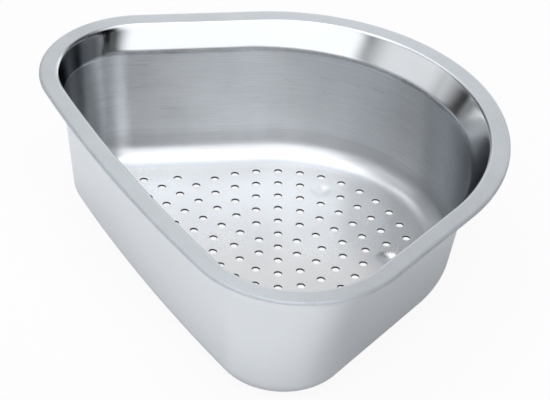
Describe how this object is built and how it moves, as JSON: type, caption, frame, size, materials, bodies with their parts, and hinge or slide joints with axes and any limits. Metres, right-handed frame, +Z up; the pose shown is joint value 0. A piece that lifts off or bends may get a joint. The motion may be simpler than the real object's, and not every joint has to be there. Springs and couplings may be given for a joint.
{
  "type": "sink basket strainer",
  "caption": "Deep pressed steel corner strainer bowl with a rounded triangular plan, a flat flange, a sloping collar, steep brushed walls and a perforated floor on pressed feet.",
  "frame": {"origin": "on the surface the feet stand on, under the middle of the overall length and width", "axes": "+X along the line of symmetry towards the round nose, +Y along the nearly straight side, +Z up out of the bowl"},
  "size_m": [0.2208, 0.28, 0.0815],
  "materials": {
    "satin_flange": "fine satin",
    "polished_collar": "polished",
    "brushed_wall": "brushed round the bowl",
    "polished_base": "half polished",
    "satin_floor": "fine satin"
  },
  "bodies": {
    "root": {"rim_flange": "satin_flange", "rim_collar": "polished_collar", "wall_band": "brushed_wall", "base_ring": "polished_base", "perforated_floor": "satin_floor"}
  },
  "joints": []
}
